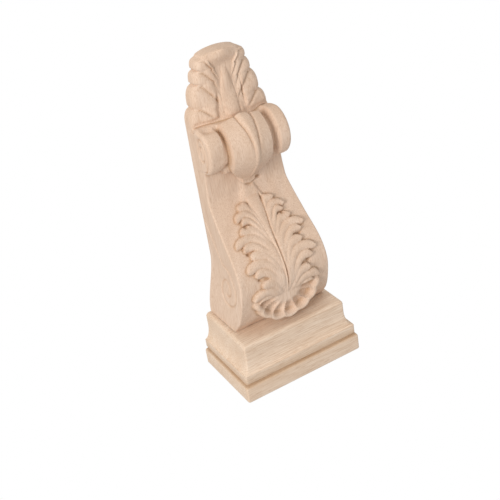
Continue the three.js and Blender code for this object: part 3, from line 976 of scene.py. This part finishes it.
def cap_loop(inset, z):
    half = cap_width / 2 - inset
    front = inset - cap_depth
    sine, cosine = quarter(corner_points)
    corner_x = half - corner_radius * (1 - sine)
    corner_y = front + corner_radius * (1 - cosine)
    face_x = np.linspace(0, corner_x[0], face_columns)[:-1]
    return_y = np.linspace(corner_y[-1], 0, return_columns)[1:]
    right_x = np.concatenate([face_x, corner_x, np.full(len(return_y), half)])
    right_y = np.concatenate([np.full(len(face_x), front), corner_y, return_y])
    x = np.concatenate([-right_x[:0:-1], right_x])
    y = np.concatenate([right_y[:0:-1], right_y])
    return np.stack([x, y, np.full_like(x, z)], 1)


cap_loops = np.array([cap_loop(inset, z) for inset, z in cap_profile()[::-1]])
cap = skin("moulded_wood_cap", cap_loops, sharp_degrees=32)
print(f"cap: {len(cap.data.polygons)} faces")

# %% [markdown]
# The cutter burns the groove under the slab a little and dust stays in it; the groove is also given a
# painted shade for the shadow inside it, so it is marked as a cut too.

# %% Paint shade and dust into the cap's groove
groove_dust_and_shade_strength = 1.3
groove_z = slab_z - groove_width / 2
groove_dust_and_shade = groove_dust_and_shade_strength * bell(cap_loops[:, :, 2] - groove_z, groove_width)
store_dust_and_shade(cap, np.minimum(groove_dust_and_shade, 1))
print(f"groove at z = {groove_z:.1f} mm")

# %% [markdown]
# The wood is a bare pale hardwood such as rubberwood or beech, sanded and unfinished. It has long fine
# fibres, short darker pores, a faint banding from the growth rings and a satin-dull surface. Image
# textures could give that, but a procedural wood also fits the carved hollows, where fibres are cut at a
# slant, since it fills space. Colours are written as in a paint chart and turned to linear light by one
# function.

# %% Colours and nodes


def linear(hex_colour):
    channels = [int(hex_colour[k : k + 2], 16) / 255 for k in (1, 3, 5)]
    return [c / 12.92 if c <= 0.04045 else ((c + 0.055) / 1.055) ** 2.4 for c in channels] + [1.0]


def add_node(tree, kind, settings=None, inputs=None, **links):
    node = tree.nodes.new(kind)
    for name, value in (settings or {}).items():
        setattr(node, name, value)
    for name, value in (inputs or {}).items():
        node.inputs[name].default_value = value
    for name, source in links.items():
        tree.links.new(source, node.inputs[name])
    return node


print("middle grey in linear light:", round(linear("#808080")[0], 3))

# %% [markdown]
# Each noise is stretched along the grain by squeezing its coordinates. Sizes are real: fibres about 0.3
# mm wide, pores 0.2 mm wide, rings 5 to 7 mm apart. Fibres and pores that fine would vanish in a picture
# of the whole corbel, so they are drawn about twice as coarse as they are. Bare wood has the usual IOR of
# 1.5, is not metallic, and its roughness of about 0.65 gives the eye a soft sheen without a highlight.

# %% Bare hardwood
fibre_width, fibre_length = 0.55, 18
pore_width, pore_length = 0.5, 5.5
ring_width, ring_length = 5.5, 160
cloud_width, cloud_length = 16, 90
ring_share, fibre_share, pore_share, cut_dust_and_shade_share = 0.55, 0.6, 0.4, 0.55
least_roughness, most_roughness = 0.58, 0.72
fibre_bump, pore_bump = 0.12, 0.15


def bare_hardwood(name, grain_axis, pale, middle, dark, ring_tilt):
    material = bpy.data.materials.new(name)
    material.use_nodes = True
    tree = material.node_tree
    shader = tree.nodes["Principled BSDF"]
    shader.inputs["IOR"].default_value = 1.5
    shader.inputs["Specular IOR Level"].default_value = 0.35
    place = add_node(tree, "ShaderNodeTexCoord").outputs["Object"]

    def noise(width_mm, length_mm, **inputs):
        scale = [1 / (width_mm * MM)] * 3
        scale[grain_axis] = 1 / (length_mm * MM)
        stretched = add_node(tree, "ShaderNodeMapping", {"vector_type": "POINT"},
                             {"Scale": scale, "Rotation": ring_tilt}, Vector=place)
        return add_node(tree, "ShaderNodeTexNoise", None, {"Scale": 1.0, **inputs},
                        Vector=stretched.outputs["Vector"]).outputs["Fac"]

    def mapped(value, low, high, to_low=0, to_high=1):
        ends = {"From Min": low, "From Max": high, "To Min": to_low, "To Max": to_high}
        return add_node(tree, "ShaderNodeMapRange", {"clamp": True}, ends, Value=value).outputs["Result"]

    def mixed(factor, first, second):
        node = add_node(tree, "ShaderNodeMix", {"data_type": "RGBA", "blend_type": "MIX"})
        factor_socket, first_socket, second_socket = node.inputs[0], node.inputs[6], node.inputs[7]
        tree.links.new(factor, factor_socket)
        second_socket.default_value = second
        if isinstance(first, list):
            first_socket.default_value = first
        else:
            tree.links.new(first, first_socket)
        return node.outputs[2]

    clouds = noise(cloud_width, cloud_length, Detail=3, Roughness=0.55)
    bands = noise(ring_width, ring_length, Detail=2.0, Distortion=0.6)
    fibres = noise(fibre_width, fibre_length, Detail=4, Roughness=0.7)
    pores = noise(pore_width, pore_length, Detail=1, Roughness=0.55)
    dust_and_shade_in_cuts = add_node(tree, "ShaderNodeAttribute", {"attribute_name": "cut_dust_and_shade"}).outputs["Fac"]

    colour = mixed(mapped(clouds, 0.3, 0.7), linear(middle), linear(pale))
    colour = mixed(mapped(bands, 0.42, 0.62, to_high=ring_share), colour, linear(middle))
    colour = mixed(mapped(fibres, 0.42, 0.72, to_high=fibre_share), colour, linear(dark))
    colour = mixed(mapped(pores, 0.62, 0.72, to_high=pore_share), colour, linear(dark))
    # Painted shade with dust: the deeper a point lies in a cut, the more its wood is mixed towards a brown.
    colour = mixed(mapped(dust_and_shade_in_cuts, 0.15, 1, to_high=cut_dust_and_shade_share), colour, linear("#b08a60"))
    tree.links.new(colour, shader.inputs["Base Color"])
    roughness = mapped(fibres, 0.3, 0.8, least_roughness, most_roughness)
    tree.links.new(roughness, shader.inputs["Roughness"])

    pits = mapped(pores, 0.6, 0.75)
    raised = {"Strength": 0.35, "Distance": fibre_bump * MM}
    sunk = {"Strength": 0.4, "Distance": pore_bump * MM}
    fine = add_node(tree, "ShaderNodeBump", None, raised, Height=fibres).outputs["Normal"]
    pitted = add_node(tree, "ShaderNodeBump", {"invert": True}, sunk, Height=pits, Normal=fine)
    tree.links.new(pitted.outputs["Normal"], shader.inputs["Normal"])
    print(f"{name}: {len(tree.nodes)} nodes")
    return material


# %% [markdown]
# The two pieces were cut from different boards: the cap is a little paler, with darker fibres, and its
# grain runs along the width, so its ends show the wood end on.

# %% Dress the pieces
along_x, along_z = 0, 2
bracket_wood = bare_hardwood("bare_hardwood_along_height", along_z, "#ead3c1", "#dfc5b0", "#bb977a",
                             (0.03, 0.05, 0))
cap_wood = bare_hardwood("bare_hardwood_along_width", along_x, "#f1dfcd", "#e6cfb9", "#b48b66",
                         (0, 0.03, 0.05))

for piece, wood, node, slot in (
    (bracket, bracket_wood, "carved_bracket", "carved_wood"),
    (cap, cap_wood, "moulded_cap", "cap_wood"),
):
    piece.data.materials.append(wood)
    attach(piece, "root")
    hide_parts(node)
print("dressed:", bracket.name, cap.name)

# %% [markdown]
# The corbel hangs on a wall, so the floor lies well below it. A pale matt floor and a white surround keep
# the background plain and fill the shadows. Sizes are metres here.

# %% Floor
floor_half, floor_z = 4, -1
corner_signs = (-1, -1), (1, -1), (1, 1), (-1, 1)
floor_corners = [(floor_half * x, floor_half * y, floor_z) for x, y in corner_signs]
floor_mesh = bpy.data.meshes.new("floor")
floor_mesh.from_pydata(floor_corners, [], [(0, 1, 2, 3)])
floor = bpy.data.objects.new("floor", floor_mesh)
bpy.context.scene.collection.objects.link(floor)
floor_paint = bpy.data.materials.new("matt_white_paint")
floor_paint.use_nodes = True
floor_shader = floor_paint.node_tree.nodes["Principled BSDF"]
floor_shader.inputs["Base Color"].default_value = linear("#f8f6f2")
floor_shader.inputs["Roughness"].default_value = 0.8
floor_mesh.materials.append(floor_paint)
print("floor at", floor_z, "m")

# %% [markdown]
# The surround lights the wood with a weaker, warmer white than the plain white that is seen behind it.

# %% Surround
world = bpy.data.worlds.new("white_surround")
bpy.context.scene.world = world
world.use_nodes = True
surround = world.node_tree
surround_strength = 0.58
lit = surround.nodes["Background"]
lit.inputs["Color"].default_value = linear("#fffdfa")
lit.inputs["Strength"].default_value = surround_strength
seen = add_node(surround, "ShaderNodeBackground", None, {"Color": (1, 1, 1, 1), "Strength": 1.0})
choice = add_node(surround, "ShaderNodeMixShader")
ray = add_node(surround, "ShaderNodeLightPath").outputs["Is Camera Ray"]
for source, socket in ((ray, 0), (lit.outputs[0], 1), (seen.outputs[0], 2)):
    surround.links.new(source, choice.inputs[socket])
surround.links.new(choice.outputs[0], surround.nodes["World Output"].inputs["Surface"])
bpy.context.scene.view_settings.view_transform = "Standard"
print("surround strength", surround_strength)

# %% [markdown]
# The photograph shows the corbel upside down, seen from its front and a little from one side. In the
# corbel's own frame the camera therefore looks up from below the front and is rolled by nearly half a
# turn.

# %% Camera
camera_place = Vector((219.28, -458.26, -263.33)) * MM
camera_azimuth = math.radians(25.765)
camera_elevation = math.radians(-30.366)
camera_roll = math.radians(180 - 9.64)
lens_mm = 64.89
sensor_mm = 36

back = Vector((
    math.sin(camera_azimuth) * math.cos(camera_elevation),
    -math.cos(camera_azimuth) * math.cos(camera_elevation),
    math.sin(camera_elevation),
))
level_right = (-back).cross(Vector((0, 0, 1))).normalized()
level_up = level_right.cross(-back)
right = level_right * math.cos(camera_roll) + level_up * math.sin(camera_roll)
up = level_up * math.cos(camera_roll) - level_right * math.sin(camera_roll)
camera_data = bpy.data.cameras.new("camera")
camera_data.lens = lens_mm
camera_data.sensor_width = sensor_mm
camera_data.clip_start = 0.01
camera = bpy.data.objects.new("camera", camera_data)
facing = Matrix((right, up, back)).transposed().to_4x4()
camera.matrix_world = Matrix.Translation(camera_place) @ facing
bpy.context.scene.collection.objects.link(camera)
bpy.context.scene.camera = camera
print("camera at", [round(v, 3) for v in camera.location])

# %% [markdown]
# The light is a large soft box beside the camera, a little left of it as the picture is seen, and a broad
# weak one from the other side. Large boxes give the soft edge that shadows have in the carving. A third
# box behind the corbel doesn't reach the front: it only lights the back and the top when the corbel is
# turned round.

# %% Soft boxes


def soft_box(name, toward, distance, size, watts, colour):
    light = bpy.data.lights.new(name, "AREA")
    light.shape = "DISK"
    light.size = size
    light.energy = watts
    light.color = linear(colour)[:3]
    box = bpy.data.objects.new(name, light)
    direction = toward.normalized()
    facing = direction.to_track_quat("Z", "Y").to_matrix().to_4x4()
    box.matrix_world = Matrix.Translation(direction * distance) @ facing
    bpy.context.scene.collection.objects.link(box)


key_side = back * 0.9 - right * 0.5 - up * 0.15
fill_side = back * 0.8 + right * 0.5 - up * 0.3
rear_side = Vector((-0.5, 0.9, 0.6))
soft_box("key_light", key_side, distance=1.1, size=0.45, watts=6.3, colour="#fffaf4")
soft_box("fill_light", fill_side, distance=1.2, size=0.9, watts=1.0, colour="#f4f8ff")
soft_box("back_light", rear_side, distance=1.5, size=0.9, watts=12, colour="#fffdfa")
